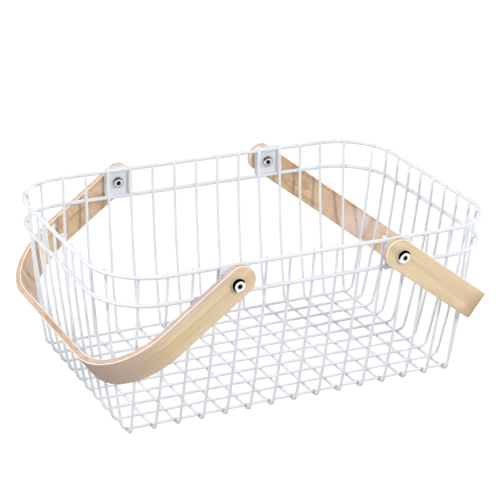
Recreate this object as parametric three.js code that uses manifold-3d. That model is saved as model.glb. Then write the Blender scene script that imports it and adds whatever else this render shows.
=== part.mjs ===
// Wire produce basket: a welded steel wire tray carried by two bentwood swing handles.
// Millimetres, +Z up. X runs along the basket's length and Y across its width.
// The origin lies on the resting plane, under the middle of the basket.
import * as THREE from 'three';
import { mergeVertices } from 'three/addons/utils/BufferGeometryUtils.js';
import Module from 'manifold-3d';

const wasm = await Module();
wasm.setup();

// ---- Driving dimensions ----

// Wires
const WIRE_DIAMETER = 2.8;
const RIM_DIAMETER = 4;
const WIRE_SIDES = 8;
const WELD_GAP = 0.1;          // left open between wires that are welded together
const BEND_RADIUS = 8;         // where a wire turns from the floor up into a wall
const BEND_STEPS = 4;
const WALL_STEPS = 4;

// Cross wires run front to back and long wires run left to right, on top of them.
const CROSS_WIRE_COUNT = 15;
const CROSS_WIRE_PITCH = 25;
const LONG_WIRE_COUNT = 10;
const LONG_WIRE_PITCH = 22.4;
const LONG_WIRE_TOP_PITCH = 23.4;
const CORNER_SPLAY = 1;        // how far the outermost cross wires fan out at the top
const CORNER_LONG_WIRE_TOP = 102.5;
const CORNER_CLEARANCE = 0.4;  // extra room for an upright on the rim's round corner

// Walls: how far out a wire stands at the floor, and at the top rim's height
const WALL_HEIGHT = 169;
const SIDE_WALL = { foot: 107.5, top: 132.3, topSlope: 0.05 };
const END_WALL = { foot: 181, top: 205.2, topSlope: 0.05 };
const WIRE_TIP = 3;            // how far an upright pokes above the rim's centre

// Rims
const TOP_RIM_HEIGHT = 171.5;
const TOP_RIM_CORNER = 58;
const SECOND_RIM_HEIGHT = 143.4;
const SECOND_RIM_CORNER = 54.3;
const RIM_CORNER_STEPS = 8;
const RIM_JOINT_X = 12.5;      // the butt joint, in the back side between two uprights
const RIM_JOINT_GAP = 0.2;

// Pivots
const PIVOT_X = 87.5;
const PIVOT_HEIGHT = 157.5;
const PLATE_WIDTH = 28;
const PLATE_BOTTOM = 141.5;
const PLATE_BEND = 149;        // below this height the plate sets in to meet the second rim
const PLATE_TOP = 174.5;
const PLATE_THICKNESS = 1.5;
const PLATE_CORNER = 2;
const PLATE_GAP = 0.2;         // between the plate and the rim that it is welded to

// Handles
const HANDLE_OUTER_HALF_WIDTH = 149;
const HANDLE_THICKNESS = 7;
const HANDLE_WIDTH = 29.6;
const HANDLE_REACH = 151.8;    // pivot to the outer face of the grip
const HANDLE_CORNER = 72;
const HANDLE_END_OVERHANG = 4.5;   // from the pivot on to the centre of an arm's round end
const HANDLE_EDGE_ROUND = 0.8;
const HANDLE_REST_ANGLE = THREE.MathUtils.degToRad(37);   // below level, leaning on an end wall

// Pivot fasteners: a sleeve nut through plate and handle, closed by a socket screw
const BARREL_RADIUS = 4;
const BARREL_BORE_RADIUS = 2.75;
const HOLE_RADIUS = 4.3;
const SCREW_SHANK_RADIUS = 2.4;
const SCREW_HEAD_RADIUS = 7.4;
const SCREW_HEAD_HEIGHT = 4;
const SCREW_FACE_RADIUS = 4.9;   // the flat on top of the head
const NUT_HEAD_RADIUS = 6.8;
const NUT_HEAD_HEIGHT = 3.4;
const SOCKET_RADIUS = 2.3;
const SOCKET_DEPTH = 2;
const SPACER_RADIUS = 8;
const FIT_GAP = 0.2;
const ROUND_SEGMENTS = 24;

// ---- Materials ----

const whitePaint = new THREE.MeshStandardMaterial({ color: 0xf2f3f4, roughness: 0.4, metalness: 0 });
const plywood = new THREE.MeshStandardMaterial({ color: 0xdcc49a, roughness: 0.5, metalness: 0 });
const chrome = new THREE.MeshStandardMaterial({ color: 0xd8d9dc, roughness: 0.15, metalness: 1 });
const nylon = new THREE.MeshStandardMaterial({ color: 0x2b2b2d, roughness: 0.6, metalness: 0 });

const basket = new THREE.Group();

function addPart(name, geometry, material, parent = basket) {
  const mesh = new THREE.Mesh(geometry, material.clone());
  mesh.name = name;
  parent.add(mesh);
  return mesh;
}

// ---- Boolean helpers ----

function toSolid(geometry) {
  const bare = geometry.clone();
  bare.deleteAttribute('normal');
  bare.deleteAttribute('uv');
  const merged = mergeVertices(bare, 1e-4);
  return new wasm.Manifold(new wasm.Mesh({
    numProp: 3,
    vertProperties: new Float32Array(merged.attributes.position.array),
    triVerts: new Uint32Array(merged.index.array),
  }));
}

function toGeometry(solid) {
  const mesh = solid.getMesh();
  const geometry = new THREE.BufferGeometry();
  geometry.setAttribute('position', new THREE.BufferAttribute(mesh.vertProperties, 3));
  geometry.setIndex(new THREE.BufferAttribute(mesh.triVerts, 1));
  geometry.computeVertexNormals();
  return geometry;
}

// The body's part inside a mould, less the cutters.
function shaped(body, mould, ...cutters) {
  return cut(toGeometry(toSolid(body).intersect(toSolid(mould))), ...cutters);
}

function cut(body, ...cutters) {
  let solid = toSolid(body);
  for (const cutter of cutters) {
    solid = solid.subtract(toSolid(cutter));
  }
  return toGeometry(solid);
}

// ---- Wires ----

// A path given by its stations: a point and a direction at each bend step.
class StationPath extends THREE.Curve {
  constructor(stations) {
    super();
    this.stations = stations;
  }

  stationAt(t) {
    return this.stations[Math.round(t * (this.stations.length - 1))];
  }

  getPointAt(t, target = new THREE.Vector3()) {
    return target.copy(this.stationAt(t).point);
  }

  getTangentAt(t, target = new THREE.Vector3()) {
    return target.copy(this.stationAt(t).direction);
  }
}

// An eight-sided section whose flats lie square to the bending plane.
function wireSection(diameter) {
  const halfStep = Math.PI / WIRE_SIDES;
  const cornerRadius = diameter / 2 / Math.cos(halfStep);
  const corners = [];
  for (let i = 0; i < WIRE_SIDES; i += 1) {
    const angle = halfStep * (2 * i + 1);
    corners.push(new THREE.Vector2(cornerRadius * Math.cos(angle), cornerRadius * Math.sin(angle)));
  }
  return new THREE.Shape(corners);
}

function wireAlong(stations, diameter) {
  return new THREE.ExtrudeGeometry(wireSection(diameter), {
    steps: stations.length - 1,
    extrudePath: new StationPath(stations),
  });
}

// How far out a wall stands, and how steeply it leans, at a height above the floor.
function wallAt(wall, height) {
  const meanSlope = (wall.top - wall.foot) / WALL_HEIGHT;
  const footSlope = 2 * meanSlope - wall.topSlope;
  const easing = (meanSlope - wall.topSlope) / WALL_HEIGHT;
  return {
    reach: wall.foot + footSlope * height - easing * height * height,
    slope: footSlope - 2 * easing * height,
  };
}

// Half of a U-shaped wire, from the floor out and up, as (outward, height, direction) steps.
function halfProfile(wall, floorHeight) {
  const lean = Math.atan(wallAt(wall, 0).slope);
  const turn = Math.PI / 2 - lean;
  const tangentLength = BEND_RADIUS * Math.tan(turn / 2);
  const arcStart = wall.foot - tangentLength;
  const profile = [];
  for (let i = 0; i <= BEND_STEPS; i += 1) {
    const angle = turn * i / BEND_STEPS;
    profile.push({
      out: arcStart + BEND_RADIUS * Math.sin(angle),
      height: floorHeight + BEND_RADIUS * (1 - Math.cos(angle)),
      angle,
    });
  }
  const bendTop = profile[BEND_STEPS].height;
  const tipHeight = TOP_RIM_HEIGHT + WIRE_TIP;
  for (let i = 1; i <= WALL_STEPS; i += 1) {
    const height = bendTop + (tipHeight - bendTop) * i / WALL_STEPS;
    const { reach, slope } = wallAt(wall, height - floorHeight);
    profile.push({ out: reach, height, angle: Math.PI / 2 - Math.atan(slope) });
  }
  return profile;
}

// Stations of a whole U-shaped wire. `place` turns (outward, sideways, height) into a point.
function basketWire(wall, floorHeight, floorOffset, topOffset, place) {
  const rise = TOP_RIM_HEIGHT - floorHeight;
  const sideSlope = (topOffset - floorOffset) / rise;
  const half = halfProfile(wall, floorHeight).map((step) => ({
    ...step,
    aside: floorOffset + sideSlope * (step.height - floorHeight),
  }));
  const station = (step, side) => ({
    point: place(side * step.out, step.aside, step.height),
    direction: place(
      Math.cos(step.angle),
      side * sideSlope * Math.sin(step.angle),
      side * Math.sin(step.angle),
    ).normalize(),
  });
  const falling = [...half].reverse().map((step) => station(step, -1));
  const rising = half.map((step) => station(step, 1));
  return wireAlong([...falling, ...rising], WIRE_DIAMETER);
}

// How far out an upright's tip stands at a sideways position, inside the top rim's round corner.
function tipReach(alongReach, acrossReach, aside) {
  const corner = TOP_RIM_CORNER - rimToUpright;
  const past = Math.abs(aside) - (acrossReach - corner);
  if (past <= 0) {
    return alongReach;
  }
  return alongReach - corner + Math.sqrt(corner * corner - past * past) - CORNER_CLEARANCE;
}

const rimToUpright = RIM_DIAMETER / 2 + WELD_GAP + WIRE_DIAMETER / 2;
const crossWireHeight = WIRE_DIAMETER / 2;
const longWireHeight = crossWireHeight + WIRE_DIAMETER + WELD_GAP;

function pad(number) {
  return String(number).padStart(2, '0');
}

for (let i = 0; i < CROSS_WIRE_COUNT; i += 1) {
  const rank = i - (CROSS_WIRE_COUNT - 1) / 2;
  const floorX = rank * CROSS_WIRE_PITCH;
  const isOutermost = i === 0 || i === CROSS_WIRE_COUNT - 1;
  const topX = floorX + (isOutermost ? Math.sign(rank) * CORNER_SPLAY : 0);
  const wall = { ...SIDE_WALL, top: tipReach(SIDE_WALL.top, END_WALL.top, topX) };
  const place = (out, aside, height) => new THREE.Vector3(aside, out, height);
  addPart(`cross_wire_${pad(i + 1)}`, basketWire(wall, crossWireHeight, floorX, topX, place), whitePaint);
}

for (let i = 0; i < LONG_WIRE_COUNT; i += 1) {
  const rank = i - (LONG_WIRE_COUNT - 1) / 2;
  const floorY = rank * LONG_WIRE_PITCH;
  const isOutermost = i === 0 || i === LONG_WIRE_COUNT - 1;
  const topY = isOutermost ? Math.sign(rank) * CORNER_LONG_WIRE_TOP : rank * LONG_WIRE_TOP_PITCH;
  const wall = { ...END_WALL, top: tipReach(END_WALL.top, SIDE_WALL.top, topY) };
  const place = (out, aside, height) => new THREE.Vector3(out, aside, height);
  addPart(`long_wire_${pad(i + 1)}`, basketWire(wall, longWireHeight, floorY, topY, place), whitePaint);
}

// ---- Rims ----

function rimStations(halfLength, halfWidth, corner, height) {
  const stations = [];
  const add = (x, y, dx, dy) => stations.push({
    point: new THREE.Vector3(x, y, height),
    direction: new THREE.Vector3(dx, dy, 0).normalize(),
  });
  add(RIM_JOINT_X - RIM_JOINT_GAP / 2, halfWidth, -1, 0);
  for (let quarter = 1; quarter <= 4; quarter += 1) {
    const centreX = (quarter === 1 || quarter === 2 ? -1 : 1) * (halfLength - corner);
    const centreY = (quarter === 1 || quarter === 4 ? 1 : -1) * (halfWidth - corner);
    for (let i = 0; i <= RIM_CORNER_STEPS; i += 1) {
      const angle = Math.PI / 2 * (quarter + i / RIM_CORNER_STEPS);
      const cos = Math.cos(angle);
      const sin = Math.sin(angle);
      add(centreX + corner * cos, centreY + corner * sin, -sin, cos);
    }
  }
  add(RIM_JOINT_X + RIM_JOINT_GAP / 2, halfWidth, -1, 0);
  return stations;
}

function addRim(name, height, corner) {
  const halfLength = wallAt(END_WALL, height - longWireHeight).reach + rimToUpright;
  const halfWidth = wallAt(SIDE_WALL, height - crossWireHeight).reach + rimToUpright;
  addPart(name, wireAlong(rimStations(halfLength, halfWidth, corner, height), RIM_DIAMETER), whitePaint);
  return halfWidth + RIM_DIAMETER / 2;
}

const rimOuterFace = addRim('top_rim', TOP_RIM_HEIGHT, TOP_RIM_CORNER);
const secondRimOuterFace = addRim('second_rim', SECOND_RIM_HEIGHT, SECOND_RIM_CORNER);

// ---- Pivots ----

// Distances of the pivot's layers from the basket's middle plane
const rimSetIn = rimOuterFace - secondRimOuterFace;
const plateInnerFace = rimOuterFace + PLATE_GAP;
const plateOuterFace = plateInnerFace + PLATE_THICKNESS;
const handleInnerFace = HANDLE_OUTER_HALF_WIDTH - HANDLE_THICKNESS;

// A cylinder lying across the basket, for holes along the pivot axis.
function pivotHole(radius, height) {
  const hole = new THREE.CylinderGeometry(radius, radius, 2 * HANDLE_OUTER_HALF_WIDTH + 20, ROUND_SEGMENTS);
  hole.translate(0, 0, height);
  return hole;
}

function plateOutline() {
  const shape = new THREE.Shape();
  const side = PLATE_WIDTH / 2;
  shape.moveTo(-side, PLATE_BOTTOM + PLATE_CORNER);
  shape.lineTo(-side, PLATE_TOP - PLATE_CORNER);
  shape.absarc(-side + PLATE_CORNER, PLATE_TOP - PLATE_CORNER, PLATE_CORNER, Math.PI, Math.PI / 2, true);
  shape.lineTo(side - PLATE_CORNER, PLATE_TOP);
  shape.absarc(side - PLATE_CORNER, PLATE_TOP - PLATE_CORNER, PLATE_CORNER, Math.PI / 2, 0, true);
  shape.lineTo(side, PLATE_BOTTOM + PLATE_CORNER);
  shape.absarc(side - PLATE_CORNER, PLATE_BOTTOM + PLATE_CORNER, PLATE_CORNER, 0, -Math.PI / 2, true);
  shape.lineTo(-side + PLATE_CORNER, PLATE_BOTTOM);
  shape.absarc(-side + PLATE_CORNER, PLATE_BOTTOM + PLATE_CORNER, PLATE_CORNER, -Math.PI / 2, -Math.PI, true);
  const depth = 4 * PLATE_THICKNESS + 4 * rimSetIn;
  const outline = new THREE.ExtrudeGeometry(shape, { depth, bevelEnabled: false, curveSegments: 2 });
  outline.rotateX(Math.PI / 2);
  outline.translate(0, plateOuterFace + depth / 2, 0);
  return outline;
}

// A flat plate whose lower edge sets in, so that both rims touch it.
function bracketPlate() {
  const side = new THREE.Shape();
  side.moveTo(plateOuterFace, PLATE_TOP + 1);
  side.lineTo(plateInnerFace, PLATE_TOP + 1);
  side.lineTo(plateInnerFace, PLATE_BEND);
  side.lineTo(plateInnerFace - rimSetIn, SECOND_RIM_HEIGHT);
  side.lineTo(plateInnerFace - rimSetIn, PLATE_BOTTOM - 1);
  side.lineTo(plateOuterFace - rimSetIn, PLATE_BOTTOM - 1);
  side.lineTo(plateOuterFace - rimSetIn, SECOND_RIM_HEIGHT);
  side.lineTo(plateOuterFace, PLATE_BEND);
  const width = PLATE_WIDTH + 2;
  const sheet = new THREE.ExtrudeGeometry(side, { depth: width, bevelEnabled: false });
  sheet.rotateX(Math.PI / 2);
  sheet.rotateZ(Math.PI / 2);
  sheet.translate(-width / 2, 0, 0);
  return shaped(sheet, plateOutline(), pivotHole(HOLE_RADIUS, PIVOT_HEIGHT));
}

// A turned piece on the pivot axis; profile points are (radius, distance from the middle plane).
function turned(points) {
  const profile = points.map(([radius, distance]) => new THREE.Vector2(radius, distance));
  return new THREE.LatheGeometry(profile, ROUND_SEGMENTS);
}

function hexSocket(from, to) {
  const socket = new THREE.CylinderGeometry(SOCKET_RADIUS, SOCKET_RADIUS, to - from, 6);
  socket.translate(0, (from + to) / 2, 0);
  return socket;
}

function socketScrew() {
  const base = HANDLE_OUTER_HALF_WIDTH + FIT_GAP;
  const top = base + SCREW_HEAD_HEIGHT;
  const tip = plateOuterFace + 1;
  const body = turned([
    [0, tip],
    [SCREW_SHANK_RADIUS, tip],
    [SCREW_SHANK_RADIUS, base],
    [SCREW_HEAD_RADIUS, base],
    [SCREW_HEAD_RADIUS, base + 0.6],
    [SCREW_FACE_RADIUS + 1.5, base + 2.4],
    [SCREW_FACE_RADIUS + 0.3, top - 0.2],
    [SCREW_FACE_RADIUS, top],
    [0, top],
  ]);
  return cut(body, hexSocket(top - SOCKET_DEPTH, top + 1));
}

function sleeveNut() {
  const base = plateInnerFace - FIT_GAP;
  const crown = base - NUT_HEAD_HEIGHT;
  const mouth = HANDLE_OUTER_HALF_WIDTH - 0.6;
  const boreEnd = plateOuterFace;
  const body = turned([
    [0, crown],
    [NUT_HEAD_RADIUS - 3.2, crown],
    [NUT_HEAD_RADIUS - 1.5, crown + 0.7],
    [NUT_HEAD_RADIUS - 0.4, crown + 1.8],
    [NUT_HEAD_RADIUS, base - 0.8],
    [NUT_HEAD_RADIUS, base],
    [BARREL_RADIUS, base],
    [BARREL_RADIUS, mouth],
    [BARREL_BORE_RADIUS, mouth],
    [BARREL_BORE_RADIUS, boreEnd],
    [0, boreEnd],
  ]);
  return cut(body, hexSocket(crown - 1, crown + SOCKET_DEPTH));
}

function spacerWasher() {
  const near = plateOuterFace + FIT_GAP;
  const far = handleInnerFace - FIT_GAP;
  return turned([
    [HOLE_RADIUS, near],
    [SPACER_RADIUS, near],
    [SPACER_RADIUS, far],
    [HOLE_RADIUS, far],
    [HOLE_RADIUS, near],
  ]);
}

for (const [endName, endSign] of [['left', -1], ['right', 1]]) {
  for (const [sideName, turn] of [['front', Math.PI], ['back', 0]]) {
    const corner = `${sideName}_${endName}`;
    const station = new THREE.Group();
    station.position.set(endSign * PIVOT_X, 0, 0);
    station.rotation.z = turn;
    basket.add(station);
    addPart(`bracket_plate_${corner}`, bracketPlate(), whitePaint, station);
    const axis = new THREE.Group();
    axis.position.z = PIVOT_HEIGHT;
    station.add(axis);
    addPart(`sleeve_nut_${corner}`, sleeveNut(), chrome, axis);
    addPart(`spacer_washer_${corner}`, spacerWasher(), nylon, axis);
    addPart(`socket_screw_${corner}`, socketScrew(), chrome, axis);
  }
}

// ---- Handles ----

// A bent strip seen square to its plane: x runs from the pivot to the grip, y across the basket.
function bentStrip() {
  const outer = HANDLE_OUTER_HALF_WIDTH;
  const inner = handleInnerFace;
  const cornerX = HANDLE_REACH - HANDLE_CORNER;
  const cornerY = outer - HANDLE_CORNER;
  const innerRadius = HANDLE_CORNER - HANDLE_THICKNESS;
  const armEnd = -HANDLE_END_OVERHANG - HANDLE_WIDTH / 2 - 1;
  const quarter = Math.PI / 2;
  const shape = new THREE.Shape();
  shape.moveTo(armEnd, -outer);
  shape.lineTo(cornerX, -outer);
  shape.absarc(cornerX, -cornerY, HANDLE_CORNER, -quarter, 0, false);
  shape.lineTo(HANDLE_REACH, cornerY);
  shape.absarc(cornerX, cornerY, HANDLE_CORNER, 0, quarter, false);
  shape.lineTo(armEnd, outer);
  shape.lineTo(armEnd, inner);
  shape.lineTo(cornerX, inner);
  shape.absarc(cornerX, cornerY, innerRadius, quarter, 0, true);
  shape.lineTo(HANDLE_REACH - HANDLE_THICKNESS, -cornerY);
  shape.absarc(cornerX, -cornerY, innerRadius, 0, -quarter, true);
  shape.lineTo(armEnd, -inner);
  const strip = new THREE.ExtrudeGeometry(shape, {
    depth: HANDLE_WIDTH - 2 * HANDLE_EDGE_ROUND,
    bevelThickness: HANDLE_EDGE_ROUND,
    bevelSize: HANDLE_EDGE_ROUND,
    bevelOffset: -HANDLE_EDGE_ROUND,
    bevelSegments: 1,
    curveSegments: 7,
  });
  strip.translate(0, 0, HANDLE_EDGE_ROUND - HANDLE_WIDTH / 2);
  return strip;
}

// What is sawn off an arm's square end to leave it round.
function roundEndWaste() {
  const radius = HANDLE_WIDTH / 2;
  const shape = new THREE.Shape();
  shape.moveTo(0, radius);
  shape.lineTo(0, 2 * radius);
  shape.lineTo(-2 * radius, 2 * radius);
  shape.lineTo(-2 * radius, -2 * radius);
  shape.lineTo(0, -2 * radius);
  shape.lineTo(0, -radius);
  shape.absarc(0, 0, radius, -Math.PI / 2, Math.PI / 2, true);
  const depth = 2 * HANDLE_OUTER_HALF_WIDTH + 20;
  const waste = new THREE.ExtrudeGeometry(shape, { depth, bevelEnabled: false, curveSegments: 10 });
  waste.rotateX(Math.PI / 2);
  waste.translate(-HANDLE_END_OVERHANG, depth / 2, 0);
  return waste;
}

function addHandle(name, endSign, angle) {
  const swing = new THREE.Group();
  swing.position.set(endSign * PIVOT_X, 0, PIVOT_HEIGHT);
  swing.rotation.y = angle;
  basket.add(swing);
  addPart(name, cut(bentStrip(), roundEndWaste(), pivotHole(HOLE_RADIUS, 0)), plywood, swing);
}

addHandle('left_handle', -1, Math.PI - HANDLE_REST_ANGLE);
addHandle('right_handle', 1, HANDLE_REST_ANGLE);

export default basket;
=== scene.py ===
"""Wire produce basket with two bentwood swing handles: its looks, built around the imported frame.

Metres, +Z up. X runs along the basket's length and Y across its width.
"""
import math
import random

import bmesh
import bpy
from mathutils import Matrix, Vector


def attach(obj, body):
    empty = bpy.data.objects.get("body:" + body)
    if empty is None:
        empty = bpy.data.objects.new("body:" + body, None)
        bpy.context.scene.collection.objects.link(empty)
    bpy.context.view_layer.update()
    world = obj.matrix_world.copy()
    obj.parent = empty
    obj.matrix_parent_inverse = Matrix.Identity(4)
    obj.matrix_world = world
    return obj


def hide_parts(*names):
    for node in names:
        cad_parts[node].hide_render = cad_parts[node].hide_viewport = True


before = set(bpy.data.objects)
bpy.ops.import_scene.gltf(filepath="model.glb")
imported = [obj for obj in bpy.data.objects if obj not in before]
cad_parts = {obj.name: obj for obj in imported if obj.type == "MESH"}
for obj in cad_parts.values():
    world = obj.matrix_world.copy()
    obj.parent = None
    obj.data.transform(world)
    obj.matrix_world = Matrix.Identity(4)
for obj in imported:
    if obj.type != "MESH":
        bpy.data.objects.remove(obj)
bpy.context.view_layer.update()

MM = 0.001
UP = Vector((0, 0, 1))
rng = random.Random(7)

# ---- Driving dimensions ----

# Wires
WIRE_DIAMETER = 2.8 * MM
RIM_DIAMETER = 4 * MM
WIRE_SIDES = 20
RIM_SIDES = 24
WELD_GAP = 0.1 * MM           # what the frame leaves open between wires that are welded together
BEND_RADIUS = 8 * MM
BEND_STEPS = 14
WALL_STEPS = 14
FLOOR_STEPS = 2
TIP_ROUND = 0.6 * MM          # how far back the coating rounds a wire's cut tip

CROSS_WIRE_COUNT = 15
CROSS_WIRE_PITCH = 25 * MM
LONG_WIRE_COUNT = 10
LONG_WIRE_PITCH = 22.4 * MM
LONG_WIRE_TOP_PITCH = 23.4 * MM
CORNER_CROSS_WIRE_TOP = 176 * MM
CORNER_LONG_WIRE_TOP = 102.5 * MM
CORNER_CLEARANCE = 0.4 * MM

# Walls: how far out a wire stands at the floor, and at the top rim's height
WALL_HEIGHT = 169 * MM
SIDE_WALL = {"foot": 107.5 * MM, "top": 132.3 * MM}
END_WALL = {"foot": 181 * MM, "top": 205.2 * MM}
WALL_TOP_SLOPE = 0.05
WIRE_TIP = 3 * MM

# Rims
TOP_RIM_HEIGHT = 171.5 * MM
TOP_RIM_CORNER = 58 * MM
SECOND_RIM_HEIGHT = 143.4 * MM
SECOND_RIM_CORNER = 54.3 * MM
RIM_CORNER_STEPS = 24
RIM_STRAIGHT_STEPS = 40
RIM_JOINT_X = 12.5 * MM
RIM_BEAD_HEIGHT = 0.5 * MM
RIM_BEAD_WIDTH = 1.5 * MM

# Pivots
PIVOT_X = 87.5 * MM
PIVOT_HEIGHT = 157.5 * MM
PLATE_WIDTH = 28 * MM
PLATE_BOTTOM = 141.5 * MM
PLATE_BEND = 149 * MM
PLATE_TOP = 174.5 * MM
PLATE_THICKNESS = 1.5 * MM
PLATE_CORNER = 2 * MM
PLATE_CORNER_STEPS = 6
PLATE_GAP = 0.2 * MM
PLATE_EDGE_ROUND = 0.3 * MM
PLATE_BEND_CUTS = 8

# Handles
HANDLE_OUTER_HALF_WIDTH = 149 * MM
HANDLE_THICKNESS = 7 * MM
FACE_VENEER = 0.9 * MM
EDGE_START = 0.08 * MM           # how deep the face veneer's look begins to turn into the cut edge's
EDGE_FULL = 0.30 * MM
HANDLE_WIDTH = 29.6 * MM
HANDLE_REACH = 151.8 * MM
HANDLE_CORNER = 72 * MM
HANDLE_END_OVERHANG = 4.5 * MM   # from the pivot on to the centre of an arm's round end
HANDLE_EDGE_ROUND = 0.8 * MM
HANDLE_REST_ANGLE = math.radians(37)
ACROSS_STEPS = 12                # the strip's faces from edge to edge

# Pivot fasteners
BARREL_RADIUS = 4 * MM
BARREL_BORE_RADIUS = 2.75 * MM
HOLE_RADIUS = 4.3 * MM
SCREW_SHANK_RADIUS = 2.4 * MM
THREAD_PITCH = 0.8 * MM
THREAD_DEPTH = 0.35 * MM
SCREW_HEAD_RADIUS = 7.4 * MM
SCREW_HEAD_HEIGHT = 4 * MM
SCREW_FACE_RADIUS = 4.9 * MM     # the flat on top of the head
NUT_HEAD_RADIUS = 6.8 * MM
NUT_HEAD_HEIGHT = 3.4 * MM
SOCKET_RADIUS = 2.3 * MM
SOCKET_DEPTH = 2 * MM
SPACER_RADIUS = 8 * MM
FIT_GAP = 0.2 * MM
ROUND_SEGMENTS = 48

RIM_TO_UPRIGHT = RIM_DIAMETER / 2 + WELD_GAP + WIRE_DIAMETER / 2
CROSS_WIRE_HEIGHT = WIRE_DIAMETER / 2
LONG_WIRE_HEIGHT = CROSS_WIRE_HEIGHT + WIRE_DIAMETER + WELD_GAP

# Places on a handle's strip laid flat: along it, across it, and how deep from its inner face out
NEAR_EDGE = -HANDLE_WIDTH / 2
MIDDLE, OUTSIDE = HANDLE_THICKNESS / 2, HANDLE_THICKNESS
RIGHT_GRAIN = 1.37    # where the right handle's veneer was cut from, so that the two do not look alike

# How strongly the inner face shows its curl and browner tone, of which the outer face shows none
INNER_FACE_SHARE = 0.85

# Knots: along, across, depth, reach
KNOTS = [
    (0.274, NEAR_EDGE, 3.2 * MM, 1.3 * MM),
    (0.252, NEAR_EDGE, 3.8 * MM, 1.0 * MM),
    (0.138, 9.0 * MM, OUTSIDE, 0.5 * MM),
    (RIGHT_GRAIN + 0.388, 1.2 * MM, 0.0, 0.6 * MM),
    (RIGHT_GRAIN + 0.096, -9.5 * MM, OUTSIDE, 0.5 * MM),
]

# Where the veneer's colour turns, by its own tone and by painted shade, shadow and sheen: along, across,
# depth, reach along, reach across, colour, share
BLUSHES_AND_PAINTED_LIGHT = [
    # Painted shade on the outer face of the left handle's lower front bend
    (0.150, 0.0, OUTSIDE, 66 * MM, 60 * MM, (0.560, 0.425, 0.355), 0.80),
    (0.040, NEAR_EDGE, MIDDLE, 90 * MM, 6 * MM, (0.540, 0.440, 0.415), 0.75),
    (0.235, NEAR_EDGE, MIDDLE, 55 * MM, 4 * MM, (0.560, 0.390, 0.250), 0.65),
    (0.250, NEAR_EDGE, MIDDLE, 24 * MM, 4 * MM, (0.470, 0.310, 0.200), 0.65),
    # Painted shade on the inner face of the left handle's back bend
    (0.376, 0.0, 0.0, 55 * MM, 26 * MM, (0.510, 0.375, 0.290), 0.75),
    # A painted shadow of a corner wire, laid across that bend's inner face
    (0.384, 2.0 * MM, 0.0, 3.5 * MM, 18 * MM, (0.380, 0.220, 0.160), 0.75),
    # A painted sheen, standing for the lacquer's highlight, on the inner face of the right handle's back bend
    (RIGHT_GRAIN + 0.384, 0.0, 0.0, 26 * MM, 18 * MM, (0.800, 0.630, 0.625), 0.75),
    (RIGHT_GRAIN + 0.352, 0.0, 0.0, 30 * MM, 20 * MM, (0.640, 0.420, 0.310), 0.55),
    (RIGHT_GRAIN + 0.418, 0.0, 0.0, 26 * MM, 20 * MM, (0.660, 0.430, 0.335), 0.60),
    (RIGHT_GRAIN + 0.092, -7.0 * MM, OUTSIDE, 14 * MM, 7 * MM, (0.830, 0.590, 0.440), 0.55),
]


# ---- Materials ----

class Nodes:
    """A node tree, built one node at a time."""

    def __init__(self, tree):
        self.tree = tree

    def node(self, kind, inputs=None, **settings):
        made = self.tree.nodes.new(kind)
        for key, value in settings.items():
            setattr(made, key, value)
        for key, value in (inputs or {}).items():
            self.feed(made.inputs[key], value)
        return made

    def feed(self, socket, value):
        if isinstance(value, bpy.types.NodeSocket):
            self.tree.links.new(value, socket)
        else:
            socket.default_value = (*value, 1) if socket.type == "RGBA" else value

    def stretched(self, vector, scale):
        made = self.node("ShaderNodeVectorMath", {0: vector, 1: scale}, operation="MULTIPLY")
        return made.outputs[0]

    def noise(self, vector, scale=1.0, detail=3.0, roughness=0.5, distortion=0.0):
        """Noise at one scale, or stretched by a scale for each axis."""
        if isinstance(scale, tuple):
            vector, scale = self.stretched(vector, scale), 1.0
        inputs = {"Vector": vector, "Scale": scale, "Detail": detail}
        inputs.update({"Roughness": roughness, "Distortion": distortion})
        return self.node("ShaderNodeTexNoise", inputs).outputs[0]

    def math(self, operation, a, b=0.0):
        return self.node("ShaderNodeMath", {0: a, 1: b}, operation=operation).outputs[0]

    def distance(self, vector, spot, scale):
        """How far a vector is from a spot, once both are stretched."""
        apart = self.node("ShaderNodeVectorMath", {0: vector, 1: spot}, operation="SUBTRACT").outputs[0]
        stretched = self.stretched(apart, scale)
        return self.node("ShaderNodeVectorMath", {0: stretched}, operation="LENGTH").outputs["Value"]

    def ranged(self, value, low, high, to_low=0.0, to_high=1.0, smooth=False):
        made = self.node(
            "ShaderNodeMapRange",
            {"Value": value, "From Min": low, "From Max": high, "To Min": to_low, "To Max": to_high},
            interpolation_type="SMOOTHSTEP" if smooth else "LINEAR",
        )
        return made.outputs[0]

    def ramp(self, value, stops):
        made = self.node("ShaderNodeValToRGB", {"Fac": value})
        elements = made.color_ramp.elements
        while len(elements) < len(stops):
            elements.new(0.5)
        for element, (position, colour) in zip(elements, stops):
            element.position = position
            element.color = (*colour, 1)
        return made.outputs[0]

    def mixed(self, share, a, b, blend="MIX"):
        inputs = {0: share, 6: a, 7: b}    # the node's factor and its two colours
        return self.node("ShaderNodeMix", inputs, data_type="RGBA", blend_type=blend).outputs[2]

    def tinted(self, colour, tint, value, low, high, share_low, share_high):
        """A colour turned towards a tint, by a share that eases as a value goes from low to high."""
        share = self.ranged(value, low, high, share_low, share_high, smooth=True)
        return self.mixed(share, colour, tint)

    def bump(self, height, strength, distance, normal=None):
        inputs = {"Height": height, "Strength": strength, "Distance": distance}
        if normal is not None:
            inputs["Normal"] = normal
        return self.node("ShaderNodeBump", inputs).outputs[0]


class Shading(Nodes):
    """A material's node tree around its Principled shader."""

    def __init__(self, name, **constants):
        self.material = bpy.data.materials.new(name)
        self.material.use_nodes = True
        super().__init__(self.material.node_tree)
        self.shader = self.tree.nodes["Principled BSDF"]
        for socket, value in constants.items():
            self.set(socket.replace("_", " "), value)

    def set(self, name, value):
        self.feed(self.shader.inputs[name], value)

    def object_place(self):
        return self.node("ShaderNodeTexCoord").outputs["Object"]


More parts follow.
